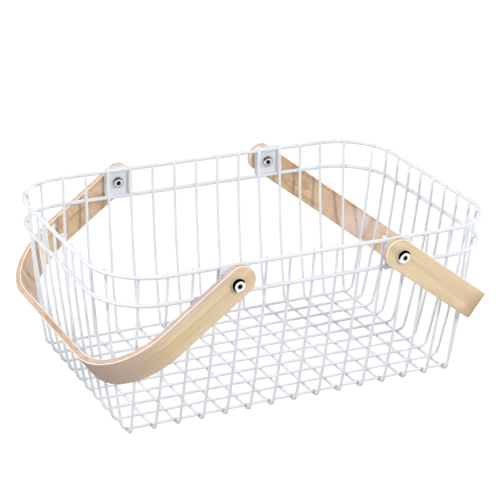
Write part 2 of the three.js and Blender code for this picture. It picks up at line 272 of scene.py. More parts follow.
def powder_coat():
    """White polyester powder coat: a faint orange peel, and thickness that varies from wire to wire."""
    s = Shading("white_powder_coat", Metallic=0.0, IOR=1.5)
    place = s.object_place()
    cloud = s.noise(place, scale=38, detail=3)
    s.set("Base Color", s.ramp(cloud, [(0.3, (0.682, 0.700, 0.730)), (0.7, (0.726, 0.741, 0.769))]))
    peel = s.noise(place, scale=950, detail=2)
    s.set("Roughness", s.ranged(peel, 0.3, 0.7, 0.34, 0.46))
    dips = s.noise(place, scale=260, detail=1)
    soft = s.bump(dips, 0.10, 0.15 * MM)
    s.set("Normal", s.bump(peel, 0.12, 0.06 * MM, soft))
    return s.material


def chrome_plate(name, metallic, smoothest, roughest):
    """Nickel-chrome plate with fine turning marks and a few scratches."""
    s = Shading(name, Metallic=metallic)
    place = s.object_place()
    haze = s.noise(place, scale=420, detail=4)
    s.set("Base Color", s.ramp(haze, [(0.3, (0.86, 0.86, 0.87)), (0.75, (0.95, 0.95, 0.96))]))
    s.set("Roughness", s.ranged(haze, 0.3, 0.75, smoothest, roughest))
    scratches = s.noise(place, (2600, 900, 700), detail=2)
    s.set("Normal", s.bump(scratches, 0.06, 0.03 * MM))
    return s.material


def fine_grained(name, scale, detail, dark, light, smoothest, **constants):
    """A dull surface with an even fine grain."""
    s = Shading(name, **constants)
    grain = s.noise(s.object_place(), scale=scale, detail=detail)
    s.set("Base Color", s.ramp(grain, [(0.3, dark), (0.7, light)]))
    s.set("Roughness", s.ranged(grain, 0.3, 0.7, smoothest, smoothest + 0.2))
    s.set("Normal", s.bump(grain, 0.3, 0.05 * MM))
    return s.material


def black_nylon():
    """Moulded nylon with a spark-eroded grain."""
    dark, light = (0.016, 0.016, 0.018), (0.032, 0.032, 0.035)
    return fine_grained("black_nylon", 2400, 2, dark, light, 0.45, Metallic=0.0, IOR=1.53)


def socket_shade_steel():
    """The steel inside a socket, darkened to paint the shade deep in its recess, and duller than the plate
    about it.
    """
    dark, light = (0.05, 0.05, 0.05), (0.14, 0.14, 0.14)
    return fine_grained("socket_painted_shade", 700, 3, dark, light, 0.35, Metallic=1.0)


def veneer_colour(s, grain, depth, fibre):
    """Face veneer: slow figure, growth rings, curl, thin fibres and short dark flecks. Most marked inside."""
    figure = s.noise(grain, (5, 62, 0), detail=3, distortion=0.6)
    face = s.ramp(figure, [
        (0.28, (0.630, 0.470, 0.275)),
        (0.50, (0.728, 0.576, 0.368)),
        (0.74, (0.790, 0.650, 0.448)),
    ])
    wander = s.noise(grain, (7, 22, 0), detail=2)
    face = s.tinted(face, (0.730, 0.500, 0.370), wander, 0.46, 0.70, 0.0, 0.38)
    swell = s.noise(grain, (2.4, 26, 0), detail=2, distortion=0.4)
    ring = s.math("FRACT", s.math("MULTIPLY", swell, 8.0))
    black, white = (0, 0, 0), (1, 1, 1)
    late_wood = s.ramp(ring, [(0.0, black), (0.55, (0.02, 0.02, 0.02)), (0.90, white), (0.97, black)])
    inner = s.ranged(depth, 0.0, HANDLE_THICKNESS, INNER_FACE_SHARE, 0.0)
    ringed = s.math("MULTIPLY", late_wood, s.ranged(inner, 0.0, INNER_FACE_SHARE, 0.30, 0.80))
    face = s.mixed(ringed, face, (0.500, 0.310, 0.180))
    curl = s.noise(grain, (95, 16, 0), detail=2, distortion=0.8)
    curl = s.ranged(curl, 0.46, 0.62, 0.0, 0.50, smooth=True)
    face = s.mixed(s.math("MULTIPLY", curl, inner), face, (0.500, 0.310, 0.190))
    face = s.mixed(s.ranged(fibre, 0.30, 0.72, 0.30, 0.0), face, (0.450, 0.290, 0.160))
    fleck = s.noise(grain, (230, 2100, 0), detail=1)
    face = s.tinted(face, (0.360, 0.220, 0.120), fleck, 0.62, 0.74, 0.0, 0.32)
    return s.mixed(inner, face, (0.950, 0.890, 0.865), blend="MULTIPLY")


def ply_colour(s, grain, depth):
    """Cut edge: a peach core of alternating plies."""
    peach, rose = (0.660, 0.490, 0.355), (0.500, 0.350, 0.260)
    plies = s.ramp(s.ranged(depth, 0.0, HANDLE_THICKNESS), [
        (0.13, peach), (0.16, rose), (0.20, peach), (0.33, peach), (0.345, rose), (0.36, peach),
        (0.50, (0.700, 0.530, 0.395)),
        (0.64, peach), (0.655, rose), (0.67, peach), (0.80, peach), (0.84, rose),
    ])
    speckle = s.noise(grain, (700, 700, 1500), detail=2)
    return s.mixed(s.ranged(speckle, 0.35, 0.70, 0.22, 0.0), plies, (0.600, 0.400, 0.280))


def streaked(s, grain, on_edge, colour):
    """Brown streaks and short pores along the plies, on the cut edge only."""
    streak = s.noise(grain, (95, 0, 430), detail=4, roughness=0.7)
    share = s.math("MULTIPLY", on_edge, s.ranged(streak, 0.48, 0.62, 0.0, 0.62, smooth=True))
    colour = s.mixed(share, colour, (0.430, 0.270, 0.170))
    pore = s.noise(grain, (300, 0, 650), detail=2)
    share = s.math("MULTIPLY", on_edge, s.ranged(pore, 0.58, 0.68, 0.0, 0.60, smooth=True))
    return s.mixed(share, colour, (0.330, 0.200, 0.120))


def blushed_and_painted_light(s, grain, colour):
    """Turns the veneer's colour about a few places, with edges frayed along the grain: its own tone at some,
    and painted shade, a painted wire shadow and a painted sheen at others.
    """
    fray = s.noise(grain, (60, 240, 0), detail=3)
    for along, across, depth, reach_along, reach_across, tint, share in BLUSHES_AND_PAINTED_LIGHT:
        scale = (1 / reach_along, 1 / reach_across, 1 / HANDLE_THICKNESS)
        far = s.distance(grain, (along, across, depth), scale)
        far = s.math("ADD", far, s.ranged(fray, 0.3, 0.7, -0.22, 0.22))
        colour = s.tinted(colour, tint, far, 0.30, 1.1, share, 0.0)
    return colour


def knotted(s, grain, colour):
    """Adds the small knots: dark hearts, each in a paler ring."""
    for along, across, depth, reach in KNOTS:
        far = s.distance(grain, (along, across, depth), (0.6, 1, 1))
        wobble = s.noise(grain, (500, 700, 300), detail=2)
        far = s.math("ADD", far, s.ranged(wobble, 0.3, 0.7, -0.35 * reach, 0.35 * reach))
        colour = s.tinted(colour, (0.560, 0.360, 0.220), far, reach, 3 * reach, 0.45, 0.0)
        colour = s.tinted(colour, (0.160, 0.085, 0.050), far, 0.4 * reach, reach, 0.85, 0.0)
    return colour


def bentwood():
    """Lacquered beech plywood. The mesh's "grain" attribute is (along, across, depth) in metres."""
    s = Shading("bentwood_veneer", Metallic=0.0, IOR=1.48, Coat_Weight=0.30, Coat_Roughness=0.24)
    grain = s.node("ShaderNodeAttribute", attribute_name="grain").outputs["Vector"]
    depth = s.node("ShaderNodeSeparateXYZ", {0: grain}).outputs["Z"]
    fibre = s.noise(grain, (38, 1300, 500), detail=4, roughness=0.6)
    face = veneer_colour(s, grain, depth, fibre)
    edge = ply_colour(s, grain, depth)
    above = s.ranged(depth, EDGE_START, EDGE_FULL, smooth=True)
    below = s.ranged(
        depth, HANDLE_THICKNESS - EDGE_FULL, HANDLE_THICKNESS - EDGE_START, 1.0, 0.0, smooth=True
    )
    on_edge = s.math("MULTIPLY", above, below)
    wood = blushed_and_painted_light(s, grain, s.mixed(on_edge, face, edge))
    wood = knotted(s, grain, streaked(s, grain, on_edge, wood))
    buried = s.math("MINIMUM", depth, s.math("SUBTRACT", HANDLE_THICKNESS, depth))
    in_veneer = s.ranged(buried, FACE_VENEER, 1.25 * FACE_VENEER, 0.9, 0.0)
    veneer = s.math("MULTIPLY", on_edge, in_veneer)
    s.set("Base Color", s.mixed(veneer, wood, (0.960, 0.880, 0.790)))
    s.set("Roughness", s.ranged(fibre, 0.3, 0.7, 0.50, 0.38))
    s.set("Normal", s.bump(fibre, 0.20, 0.10 * MM))
    return s.material


MATERIALS = {
    "white_powder_coat": powder_coat(),
    "chrome_fastener": chrome_plate("chrome_plate", 1.0, 0.05, 0.12),
    "black_nylon": black_nylon(),
    "bentwood": bentwood(),
}
# The sockets' darker steel paints the shade deep inside each socket
SOCKET_SHADE_STEEL = socket_shade_steel()
SATIN_CHROME = chrome_plate("satin_chrome", 0.92, 0.16, 0.26)


# ---- Meshes ----

def add_object(name, data):
    made = bpy.data.objects.new(name, data)
    bpy.context.scene.collection.objects.link(made)
    return made


def add_piece(name, vertices, faces, slot, body="root", replaces=(), smooth_angle=40):
    """A closed mesh with its record slot's material, riding on a body."""
    mesh = bpy.data.meshes.new(name)
    mesh.from_pydata([tuple(v) for v in vertices], [], faces)
    return finish_piece(name, mesh, slot, body, replaces, smooth_angle)


def paint_socket_shade(piece, first_row):
    """Gives the faces from a turned piece's row on, which are its socket's, the darker steel that paints the
    shade inside the socket.
    """
    piece.data.materials.append(SOCKET_SHADE_STEEL)
    faces = piece.data.polygons
    for face in faces:
        in_socket = face.index >= first_row * ROUND_SEGMENTS and len(face.vertices) == 4
        if in_socket or face.index == len(faces) - 1:
            face.material_index = 1


def finish_piece(name, mesh, slot, body="root", replaces=(), smooth_angle=40):
    """Makes a piece of a mesh: faces out, smooth but for its sharp edges, with its material and body."""
    bm = bmesh.new()
    bm.from_mesh(mesh)
    bmesh.ops.recalc_face_normals(bm, faces=bm.faces)
    bm.to_mesh(mesh)
    bm.free()
    mesh.materials.append(MATERIALS[slot])
    mesh.shade_smooth()
    mesh.set_sharp_from_angle(angle=math.radians(smooth_angle))
    piece = add_object(name, mesh)
    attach(piece, body)
    if replaces:
        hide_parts(*replaces)
    return piece


def thicken(bm, axis, thickness):
    """Turns a flat sheet of faces into a closed slab, a thickness deep along an axis."""
    made = bmesh.ops.extrude_face_region(bm, geom=bm.faces[:])
    for vertex in (g for g in made["geom"] if isinstance(g, bmesh.types.BMVert)):
        vertex.co[axis] = thickness


def sharp_edges(bm, degrees):
    return [e for e in bm.edges if len(e.link_faces) == 2 and e.calc_face_angle() > math.radians(degrees)]


def round_off(bm, edges, radius, segments):
    bmesh.ops.bevel(bm, geom=edges, offset=radius, segments=segments, profile=0.5, affect="EDGES")


def mesh_of(bm, name):
    mesh = bpy.data.meshes.new(name)
    bm.to_mesh(mesh)
    bm.free()
    return mesh


class Soup:
    """Several closed forms that make one coated piece."""

    def __init__(self):
        self.vertices = []
        self.faces = []

    def add(self, vertices, faces):
        start = len(self.vertices)
        self.vertices.extend(Vector(v) for v in vertices)
        self.faces.extend([start + i for i in face] for face in faces)

    def build(self, name):
        add_piece(name, self.vertices, self.faces, "white_powder_coat")


def circle(radius, sides):
    """Points round a circle about the origin."""
    angles = [2 * math.pi * k / sides for k in range(sides)]
    return [(radius * math.cos(a), radius * math.sin(a)) for a in angles]


def rings_to_faces(ring_count, sides, closed):
    """Quads between neighbouring rings, and a cap on each end of an open tube."""
    faces = []
    for i in range(ring_count if closed else ring_count - 1):
        j = (i + 1) % ring_count
        for k in range(sides):
            m = (k + 1) % sides
            faces.append([i * sides + k, i * sides + m, j * sides + m, j * sides + k])
    if not closed:
        faces.append(list(range(sides))[::-1])
        faces.append([(ring_count - 1) * sides + k for k in range(sides)])
    return faces


def tube(points, radii, reference, sides, closed=False):
    """A round tube whose section never twists about the reference direction."""
    count = len(points)
    vertices = []
    for i, point in enumerate(points):
        before = points[i - 1] if closed or i > 0 else point
        after = points[(i + 1) % count] if closed or i < count - 1 else point
        along = (after - before).normalized()
        first = (reference - along * reference.dot(along)).normalized()
        second = along.cross(first)
        for k in range(sides):
            angle = 2 * math.pi * k / sides
            vertices.append(point + radii[i] * (math.cos(angle) * first + math.sin(angle) * second))
    return vertices, rings_to_faces(count, sides, closed)


def with_round_tips(points, radius):
    """Adds stations that round a wire's two cut ends. Returns points and radii."""
    def tip(end, inner):
        along = (end - inner).normalized()
        steps = [math.radians(a) for a in (0, 30, 60, 80)]
        return [
            (end - along * TIP_ROUND * (1 - math.sin(a)), radius - TIP_ROUND * (1 - math.cos(a)))
            for a in steps
        ]
    start = tip(points[0], points[1])[::-1]
    finish = tip(points[-1], points[-2])
    stations = start + [(p, radius) for p in points[1:-1]] + finish
    return [p for p, _ in stations], [r for _, r in stations]


# ---- Wires ----

def wall_at(wall, height):
    """How far out a wall stands, and how steeply it leans, at a height above the floor."""
    mean_slope = (wall["top"] - wall["foot"]) / WALL_HEIGHT
    foot_slope = 2 * mean_slope - WALL_TOP_SLOPE
    easing = (mean_slope - WALL_TOP_SLOPE) / WALL_HEIGHT
    reach = wall["foot"] + foot_slope * height - easing * height * height
    return reach, foot_slope - 2 * easing * height


def half_profile(wall, floor_height):
    """Half of a U-shaped wire, from the floor out and up, as (outward, height) steps."""
    turn = math.pi / 2 - math.atan(wall_at(wall, 0)[1])
    arc_start = wall["foot"] - BEND_RADIUS * math.tan(turn / 2)
    profile = [(arc_start * i / FLOOR_STEPS, floor_height) for i in range(1, FLOOR_STEPS)]
    for i in range(BEND_STEPS + 1):
        angle = turn * i / BEND_STEPS
        profile.append((
            arc_start + BEND_RADIUS * math.sin(angle),
            floor_height + BEND_RADIUS * (1 - math.cos(angle)),
        ))
    bend_top = profile[-1][1]
    tip_height = TOP_RIM_HEIGHT + WIRE_TIP
    for i in range(1, WALL_STEPS + 1):
        height = bend_top + (tip_height - bend_top) * i / WALL_STEPS
        profile.append((wall_at(wall, height - floor_height)[0], height))
    return profile


def tip_reach(along, across, aside):
    """How far out an upright's tip stands at a sideways position, inside the top rim's round corner."""
    corner = TOP_RIM_CORNER - RIM_TO_UPRIGHT
    past = abs(aside) - (across - corner)
    if past <= 0:
        return along
    return along - corner + math.sqrt(corner * corner - past * past) - CORNER_CLEARANCE


class BasketWire:
    """One U-shaped wire: both its uprights and its run across the floor."""

    def __init__(self, name, wall, floor_height, floor_aside, top_aside, swap):
        self.name = name
        self.wall = wall
        self.floor_height = floor_height
        self.floor_aside = floor_aside
        self.slope = (top_aside - floor_aside) / (TOP_RIM_HEIGHT - floor_height)
        self.swap = swap

    def place(self, out, aside, height):
        return Vector((aside, out, height)) if self.swap else Vector((out, aside, height))

    def aside(self, height):
        return self.floor_aside + self.slope * (height - self.floor_height)

    def upright_at(self, side, height):
        """Centre of an upright at a height, on the -1 or the +1 side."""
        reach, _ = wall_at(self.wall, height - self.floor_height)
        return self.place(side * reach, self.aside(height), height)

    def build(self):
        half = half_profile(self.wall, self.floor_height)
        falling = [self.place(-out, self.aside(height), height) for out, height in reversed(half)]
        rising = [self.place(out, self.aside(height), height) for out, height in half]
        middle = [self.place(0, self.floor_aside, self.floor_height)]
        points, radii = with_round_tips(falling + middle + rising, WIRE_DIAMETER / 2)
        reference = Vector((1, 0, 0)) if self.swap else Vector((0, 1, 0))
        vertices, faces = tube(points, radii, reference, WIRE_SIDES)
        add_piece("coated_" + self.name, vertices, faces, "white_powder_coat", replaces=[self.name])


def wire_layer(kind, count, pitch, top_pitch, corner_top, wall, ends, height, swap):
    """One layer of the basket's wires. Its outermost two lean their own way, into the corners."""
    wires = []
    for i in range(count):
        rank = i - (count - 1) / 2
        outermost = abs(rank) == (count - 1) / 2
        top = math.copysign(corner_top, rank) if outermost else rank * top_pitch
        profile = {**wall, "top": tip_reach(wall["top"], ends["top"], top)}
        wires.append(BasketWire(f"{kind}_wire_{i + 1:02d}", profile, height, rank * pitch, top, swap))
    return wires


# ---- Rims ----

class Rim:
    """A round-cornered hoop outside the uprights."""

    def __init__(self, name, height, corner):
        self.name = name
        self.height = height
        self.corner = corner
        self.half_length = wall_at(END_WALL, height - LONG_WIRE_HEIGHT)[0] + RIM_TO_UPRIGHT
        self.half_width = wall_at(SIDE_WALL, height - CROSS_WIRE_HEIGHT)[0] + RIM_TO_UPRIGHT
        self.outer_face = self.half_width + RIM_DIAMETER / 2

    def points(self):
        made = []
        for quarter in range(1, 5):
            centre_x = (-1 if quarter in (1, 2) else 1) * (self.half_length - self.corner)
            centre_y = (1 if quarter in (1, 4) else -1) * (self.half_width - self.corner)
            for i in range(RIM_CORNER_STEPS + 1):
                angle = math.pi / 2 * (quarter + i / RIM_CORNER_STEPS)
                made.append(Vector((
                    centre_x + self.corner * math.cos(angle),
                    centre_y + self.corner * math.sin(angle),
                    self.height,
                )))
            if quarter in (2, 4):
                step = -2 * centre_x / RIM_STRAIGHT_STEPS
                run = [centre_x + step * i for i in range(1, RIM_STRAIGHT_STEPS)]
                if quarter == 4:    # the back run
                    run = self.refined(run)
                made.extend(Vector((x, made[-1].y, self.height)) for x in run)
        return made

    def refined(self, run):
        """Adds stations about the butt weld."""
        bead = [RIM_JOINT_X + RIM_BEAD_WIDTH * i / 4 for i in range(-6, 7)]
        run = [x for x in run if abs(x - RIM_JOINT_X) > 2 * RIM_BEAD_WIDTH] + bead
        return sorted(run, reverse=True)

    def radius_at(self, point):
        """The rim's own radius, a little more at the bead of its butt weld."""
        if point.y < 0:
            return RIM_DIAMETER / 2
        along = (point.x - RIM_JOINT_X) / RIM_BEAD_WIDTH
        return RIM_DIAMETER / 2 + RIM_BEAD_HEIGHT * math.exp(-2 * along * along)

    def nearest(self, spot):
        """The rim's centre nearest to a spot inside it."""
        inner = Vector((
            max(-(self.half_length - self.corner), min(self.half_length - self.corner, spot.x)),
            max(-(self.half_width - self.corner), min(self.half_width - self.corner, spot.y)),
            self.height,
        ))
        flat = Vector((spot.x, spot.y, self.height))
        if flat.x != inner.x and flat.y != inner.y:
            return inner + (flat - inner).normalized() * self.corner
        end = Vector((math.copysign(self.half_length, spot.x), inner.y, self.height))
        side = Vector((inner.x, math.copysign(self.half_width, spot.y), self.height))
        return min(end, side, key=lambda p: (p - flat).length)

    def build(self):
        points = self.points()
        radii = [self.radius_at(p) for p in points]
        vertices, faces = tube(points, radii, UP, RIM_SIDES, closed=True)
        add_piece("coated_" + self.name, vertices, faces, "white_powder_coat", replaces=[self.name])


# ---- Welds ----

NUGGET_SIDES = 14
NUGGET_RINGS = 9
FLOOR_NUGGET = (1.0 * MM, 1.75 * MM, 1.75 * MM)
RIM_NUGGET = (1.1 * MM, 2.1 * MM, 1.7 * MM)
BEAD_STEPS = 22
BEAD_SIDES = 12
BEAD_RADIUS = 0.75 * MM
BEAD_INSET = 4 * MM           # from a plate's side to where its bead starts
BEAD_RISE = 1.35 * MM         # from a rim's centre, up or down
BEAD_SUNK = 0.35 * MM         # how far a bead lies inside the rim's outer face


def nugget(centre, short_axis, long_axis, half_sizes):
    """A squashed lump of weld under its coat. Half sizes run along short, long and third axis."""
    third = short_axis.cross(long_axis).normalized()
    axes = [short_axis.normalized(), long_axis.normalized(), third]
    sizes = [h * rng.uniform(0.93, 1.07) for h in half_sizes]
    vertices = []
    for ring in range(1, NUGGET_RINGS):
        polar = math.pi * ring / NUGGET_RINGS
        for k in range(NUGGET_SIDES):
            angle = 2 * math.pi * k / NUGGET_SIDES
            pull = 1 + 0.08 * math.cos(4 * angle)
            vertices.append(
                centre
                + axes[0] * sizes[0] * math.cos(polar)
                + axes[1] * sizes[1] * math.sin(polar) * math.cos(angle) * pull
                + axes[2] * sizes[2] * math.sin(polar) * math.sin(angle) * pull
            )
    return vertices, rings_to_faces(NUGGET_RINGS - 1, NUGGET_SIDES, closed=False)


def floor_welds(cross, long):
    """The wires fuse a little where they cross on the floor."""
    soup = Soup()
    height = (CROSS_WIRE_HEIGHT + LONG_WIRE_HEIGHT) / 2
    for across in cross:
        for along in long:
            centre = Vector((across.floor_aside, along.floor_aside, height))
            soup.add(*nugget(centre, UP, Vector((1, 0, 0)), FLOOR_NUGGET))
    soup.build("floor_welds")


def rim_welds(rim, wires):
    """Each upright is spot welded to the inside of a rim."""
    soup = Soup()
    for wire in wires:
        for side in (-1, 1):
            upright = wire.upright_at(side, rim.height)
            across = rim.nearest(upright) - upright
            centre = upright + across.normalized() * (WIRE_DIAMETER / 2 + WELD_GAP / 2)
            soup.add(*nugget(centre, across, UP, RIM_NUGGET))
    soup.build(rim.name + "_welds")


# ---- Pivots ----

class Station:
    """One of the four pivots: turns (along, from the middle plane, height) into the row frame."""

    def __init__(self, side_name, end_name):
        self.corner = f"{side_name}_{end_name}"
        self.x = PIVOT_X if end_name == "right" else -PIVOT_X
        self.turn = 1 if side_name == "back" else -1

    def place(self, along, distance, height):
        return Vector((self.x + self.turn * along, self.turn * distance, height))


def corner_arc(x, z, start):
    """A quarter turn of a plate's corner, clockwise from the start angle."""
    angles = [math.radians(start - 90 * i / PLATE_CORNER_STEPS) for i in range(PLATE_CORNER_STEPS + 1)]
    return [(x + PLATE_CORNER * math.cos(a), z + PLATE_CORNER * math.sin(a)) for a in angles]


def plate_setting(height, rim_set_in):
    """How far a plate sets in at a height: flat above its bend, and as deep as the second rim below."""
    share = (PLATE_BEND - height) / (PLATE_BEND - SECOND_RIM_HEIGHT)
    share = max(0.0, min(1.0, share))
    return rim_set_in * share * share * (3 - 2 * share)


def bracket_plate(station, inner_face, rim_set_in):
    """The pivot's plate, welded across both rims, with its lower edge set in."""
    side = PLATE_WIDTH / 2 - PLATE_CORNER
    low = PLATE_BOTTOM + PLATE_CORNER
    high = PLATE_TOP - PLATE_CORNER
    outline = []
    for x, z, start in ((-side, high, 180), (side, high, 90), (side, low, 0), (-side, low, -90)):
        outline += corner_arc(x, z, start)
    hole = [(x, PIVOT_HEIGHT + z) for x, z in circle(HOLE_RADIUS, ROUND_SEGMENTS)]
    bm = bmesh.new()
    edges = []
    for loop in (outline, hole):
        ring = [bm.verts.new((x, 0, z)) for x, z in loop]
        edges += [bm.edges.new((ring[i - 1], ring[i])) for i in range(len(ring))]
    bmesh.ops.triangle_fill(bm, edges=edges, use_beauty=True)
    for i in range(PLATE_BEND_CUTS + 1):
        height = SECOND_RIM_HEIGHT + (PLATE_BEND - SECOND_RIM_HEIGHT) * i / PLATE_BEND_CUTS
        everything = bm.verts[:] + bm.edges[:] + bm.faces[:]
        bmesh.ops.bisect_plane(bm, geom=everything, plane_co=(0, 0, height), plane_no=(0, 0, 1))
    thicken(bm, 1, PLATE_THICKNESS)
    bm.normal_update()
    round_off(bm, sharp_edges(bm, 50), PLATE_EDGE_ROUND, 3)
    for vertex in bm.verts:
        distance = inner_face + vertex.co.y - plate_setting(vertex.co.z, rim_set_in)
        vertex.co = station.place(vertex.co.x, distance, vertex.co.z)
    mesh = mesh_of(bm, "plate_" + station.corner)
    finish_piece(mesh.name, mesh, "white_powder_coat",
                 replaces=["bracket_plate_" + station.corner], smooth_angle=35)


def weld_bead(start, finish, radius, reference):
    """A hand-laid bead of weld: a thin lumpy roll that fades at its ends."""
    points, radii = [], []
    for i in range(BEAD_STEPS + 1):
        share = i / BEAD_STEPS
        fade = math.sin(math.pi * (0.06 + 0.88 * share)) ** 0.35
        ripple = 1 + 0.10 * math.sin(share * 2 * math.pi * 6.5) + rng.uniform(-0.03, 0.03)
        points.append(start.lerp(finish, share))
        radii.append(radius * fade * ripple)
    return tube(points, radii, reference, BEAD_SIDES)


def plate_welds(station, rims):
    """A plate hangs from its rims by short beads, each below (-1) or above (1) the rim's wire."""
    soup = Soup()
    half = PLATE_WIDTH / 2 - BEAD_INSET
    for rim, rises in rims:
        for rise in rises:
            height = rim.height + rise * BEAD_RISE
            distance = rim.outer_face - BEAD_SUNK
            start = station.place(-half, distance, height)
            finish = station.place(half, distance, height)
            soup.add(*weld_bead(start, finish, BEAD_RADIUS, UP))
    soup.build("plate_welds_" + station.corner)


def hexagon(angle):
    """A hexagon's reach over its corner radius, by angle."""
    sixth = math.pi / 3
    return math.cos(sixth / 2) / math.cos(angle % sixth - sixth / 2)


def turned(station, profile, closed):
    """A turned piece on the pivot axis. Profile rows are radius, distance and any share of a hexagon."""
    vertices = []
    for radius, distance, *hexed in profile:
        for k in range(ROUND_SEGMENTS):
            angle = 2 * math.pi * k / ROUND_SEGMENTS
            reach = radius * (1 + sum(hexed) * (hexagon(angle) - 1))
            vertices.append(
                station.place(reach * math.cos(angle), distance, PIVOT_HEIGHT + reach * math.sin(angle))
            )
    return vertices, rings_to_faces(len(profile), ROUND_SEGMENTS, closed)


def add_turned(station, kind, node, profile, slot, closed=False):
    """A turned piece named for its kind and corner, in place of that corner's CAD node."""
    return add_piece(f"{kind}_{station.corner}", *turned(station, profile, closed), slot,
                     replaces=[f"{node}_{station.corner}"], smooth_angle=30)


def arc(from_radius, from_distance, to_radius, to_distance, steps, bulge=90):
    """Rows of an elliptical quarter, leaving square to the face it starts from."""
    rows = []
    for i in range(1, steps + 1):
        angle = math.radians(bulge) * i / steps
        radius = to_radius + (from_radius - to_radius) * math.cos(angle)
        distance = from_distance + (to_distance - from_distance) * math.sin(angle)
        rows.append((radius, distance))
    return rows


def socket_rows(face, way, depth):
    """A hexagon socket sunk into a face, drilled to a cone at its floor. `way` points out of the face."""
    floor = face - way * depth
    return [
        (SOCKET_RADIUS * 1.16, face),
        (SOCKET_RADIUS * 1.08, face - way * 0.05 * MM, 0.4),
        (SOCKET_RADIUS, face - way * 0.25 * MM, 1),
        (SOCKET_RADIUS, floor, 1),
        (SOCKET_RADIUS * 0.80, floor - way * 0.05 * MM, 0.6),
        (SOCKET_RADIUS * 0.45, floor - way * 0.35 * MM),
        (SOCKET_RADIUS * 0.08, floor - way * 0.55 * MM),
    ]


def socket_screw(station, plate_outer):
    """A button-head screw: its thread in the sleeve nut, its head outside the arm."""
    base = HANDLE_OUTER_HALF_WIDTH + FIT_GAP
    top = base + SCREW_HEAD_HEIGHT
    tip = plate_outer + 1 * MM
    rows = [(0.2 * MM, tip), (SCREW_SHANK_RADIUS - 0.6 * MM, tip)]
    turns = int((base - tip - 1.4 * MM) / THREAD_PITCH)
    for i in range(turns):
        start = tip + 0.4 * MM + i * THREAD_PITCH
        rows.append((SCREW_SHANK_RADIUS - THREAD_DEPTH, start))
        rows.append((SCREW_SHANK_RADIUS, start + 0.5 * THREAD_PITCH))
    rows += [
        (SCREW_SHANK_RADIUS - THREAD_DEPTH, tip + 0.4 * MM + turns * THREAD_PITCH),
        (SCREW_SHANK_RADIUS - 0.2 * MM, base - 0.3 * MM),
        (SCREW_SHANK_RADIUS, base),
        (SCREW_HEAD_RADIUS - 0.25 * MM, base),
        (SCREW_HEAD_RADIUS - 0.07 * MM, base + 0.07 * MM),
        (SCREW_HEAD_RADIUS, base + 0.25 * MM),
        (SCREW_HEAD_RADIUS, base + 0.6 * MM),
    ]
    rows += arc(SCREW_HEAD_RADIUS, base + 0.6 * MM, SCREW_FACE_RADIUS, top - 0.15 * MM, 14, 72)
    rows += [
        (SCREW_FACE_RADIUS + 0.25 * MM, top - 0.03 * MM),
        (SCREW_FACE_RADIUS, top),
        (3.4 * MM, top),
    ]
    socket_start = len(rows) + 1
    rows += socket_rows(top, 1, SOCKET_DEPTH)
    screw = add_turned(station, "screw", "socket_screw", rows, "chrome_fastener")
    paint_socket_shade(screw, socket_start)


def sleeve_nut(station, plate_inner, plate_outer):
    """A nut whose barrel runs through plate, washer and arm, with its round head inside the basket."""
    base = plate_inner - FIT_GAP
    crown = base - NUT_HEAD_HEIGHT
    mouth = HANDLE_OUTER_HALF_WIDTH - 0.6 * MM
    rows = [
        (0.2 * MM, plate_outer),
        (BARREL_BORE_RADIUS, plate_outer),
        (BARREL_BORE_RADIUS, mouth - 0.3 * MM),
        (BARREL_BORE_RADIUS + 0.3 * MM, mouth),
        (BARREL_RADIUS - 0.2 * MM, mouth),
        (BARREL_RADIUS, mouth - 0.2 * MM),
        (BARREL_RADIUS, base),
        (NUT_HEAD_RADIUS - 0.2 * MM, base),
        (NUT_HEAD_RADIUS, base - 0.2 * MM),
        (NUT_HEAD_RADIUS, base - 0.8 * MM),
    ]
    rows += arc(NUT_HEAD_RADIUS, base - 0.8 * MM, 3.3 * MM, crown, 12)
    rows += [(3.1 * MM, crown)]
    socket_start = len(rows) + 1
    rows += socket_rows(crown, -1, SOCKET_DEPTH)
    nut = add_turned(station, "nut", "sleeve_nut", rows, "chrome_fastener")
    nut.data.materials[0] = SATIN_CHROME
    paint_socket_shade(nut, socket_start)


def spacer_washer(station, plate_outer):
    """The nylon ring that holds an arm clear of its plate."""
    near = plate_outer + FIT_GAP
    far = HANDLE_OUTER_HALF_WIDTH - HANDLE_THICKNESS - FIT_GAP
    soft = 0.35 * MM
    rows = [(HOLE_RADIUS, near + soft / 2), (HOLE_RADIUS + soft / 2, near)]
    rows += [(SPACER_RADIUS - soft, near)]
    rows += arc(SPACER_RADIUS, near + soft, SPACER_RADIUS - soft, near, 4)[::-1]
    rows += [(SPACER_RADIUS, near + soft), (SPACER_RADIUS, far - soft)]
    rows += arc(SPACER_RADIUS, far - soft, SPACER_RADIUS - soft, far, 4)
    rows += [(HOLE_RADIUS + soft / 2, far), (HOLE_RADIUS, far - soft / 2)]
    add_turned(station, "washer", "spacer_washer", rows, "black_nylon", closed=True)


# ---- Handles ----

